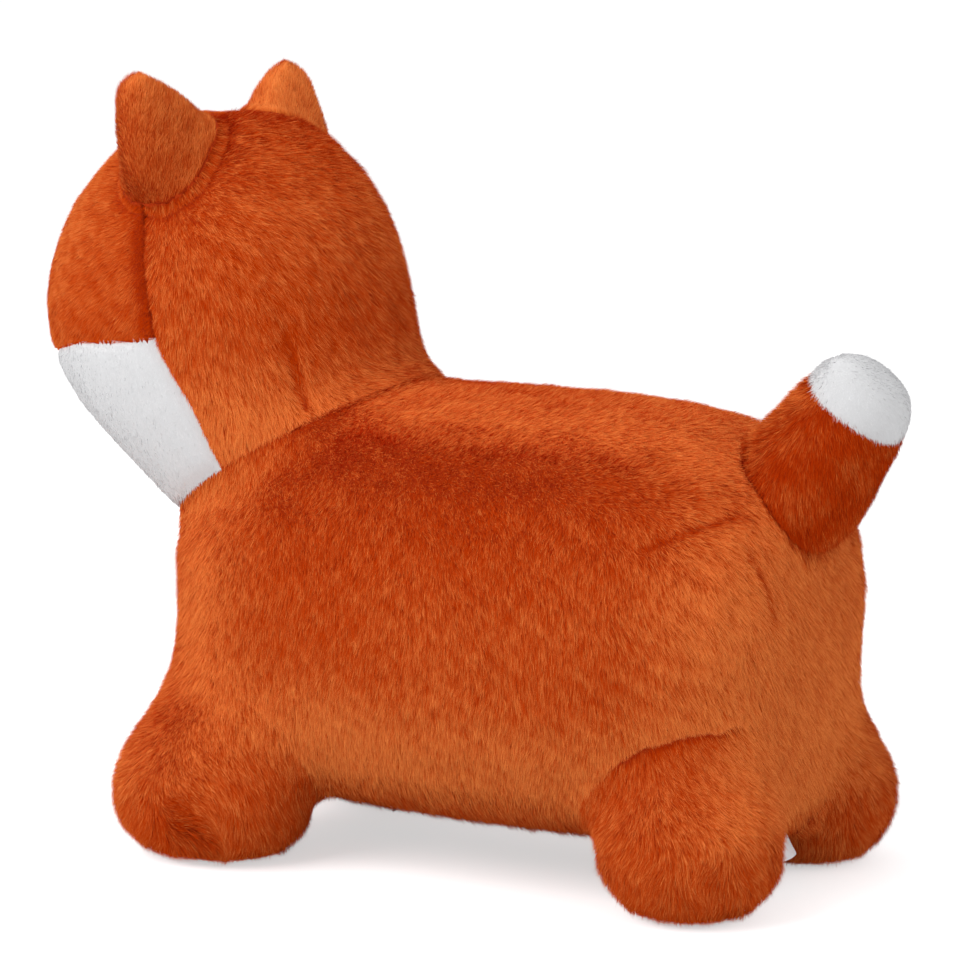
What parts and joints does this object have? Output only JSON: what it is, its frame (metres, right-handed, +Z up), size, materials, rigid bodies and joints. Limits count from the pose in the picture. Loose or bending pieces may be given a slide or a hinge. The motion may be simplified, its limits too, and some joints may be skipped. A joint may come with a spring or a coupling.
{
  "type": "bouncy ride-on fox",
  "caption": "Stuffed and inflated hopping fox for a small child to sit on: soft trunk on stout legs, raised head with ears, and a stubby white-tipped tail.",
  "frame": {"origin": "centre of the bounding box's underside, on the floor between the paws", "axes": "-Y is the way the fox faces, +X is its left side, +Z is up"},
  "size_m": [0.2976, 0.587, 0.4731],
  "materials": {
    "orange_plush": "dense short faux fur",
    "white_plush": "dense short faux fur",
    "polyester_filling": "loose fibre",
    "bladder_vinyl": "satin",
    "zip_tape_cloth": "woven",
    "zip_plastic": "moulded",
    "zip_metal": "satin",
    "valve_vinyl": "satin",
    "stopper_plastic": "moulded",
    "black_gloss": "polished",
    "label_satin": "satin ribbon"
  },
  "bodies": {
    "feet": {"leg_cover_front_left": "orange_plush", "leg_cover_front_right": "orange_plush", "leg_cover_hind_left": "orange_plush", "leg_cover_hind_right": "orange_plush", "paw_sole_front_left": "orange_plush", "paw_sole_front_right": "orange_plush", "paw_sole_hind_left": "orange_plush", "paw_sole_hind_right": "orange_plush"},
    "body": {"trunk_cover": "orange_plush", "air_bladder": "bladder_vinyl", "valve_seat": "valve_vinyl", "head_cover_back": "orange_plush", "head_cover_brow": "orange_plush", "head_cover_bib": "white_plush", "head_stuffing": "polyester_filling", "muzzle": "white_plush", "nose": "black_gloss", "eye_left": "black_gloss", "eye_right": "black_gloss", "ear_left": "orange_plush", "ear_right": "orange_plush", "ear_lining_left": "white_plush", "ear_lining_right": "white_plush", "zip_tape_left": "zip_tape_cloth", "zip_tape_right": "zip_tape_cloth", "zip_teeth_left": "zip_plastic", "zip_teeth_right": "zip_plastic", "zip_stop_front": "zip_metal", "zip_stop_rear": "zip_metal", "care_label": "label_satin"},
    "tail": {"tail_cover": "orange_plush", "tail_tip": "white_plush", "tail_stuffing": "polyester_filling"},
    "zip_slider": {"zip_slider": "zip_metal"},
    "zip_pull": {"zip_pull": "zip_metal"},
    "valve_plug": {"valve_plug": "stopper_plastic"}
  },
  "joints": [
    {"name": "bounce", "type": "slide", "parent": "feet", "child": "body", "axis": [0, 0, 1], "range_m": [-0.014, 0], "stiffness_N_per_m": 12000, "springref_m": 0.0025, "deforming": ["leg_cover_front_left", "leg_cover_front_right", "leg_cover_hind_left", "leg_cover_hind_right", "air_bladder"]},
    {"name": "tail_sway", "type": "hinge", "parent": "body", "child": "tail", "pos_m": [0, 0.22613, 0.24627], "axis": [0, -0.809, 0.5878], "range_deg": [-12, 12], "stiffness_Nm_per_rad": 1.5, "deforming": ["tail_cover"]},
    {"name": "zip_slide", "type": "slide", "parent": "body", "child": "zip_slider", "axis": [0, 1, 0], "range_m": [0, 0.2]},
    {"name": "pull_swing", "type": "hinge", "parent": "zip_slider", "child": "zip_pull", "pos_m": [0, -0.0515, 0.0226], "axis": [1, 0, 0], "range_deg": [-80, 80]},
    {"name": "valve_pull", "type": "slide", "parent": "body", "child": "valve_plug", "axis": [0, 0, -1], "range_m": [0, 0.0085]}
  ]
}
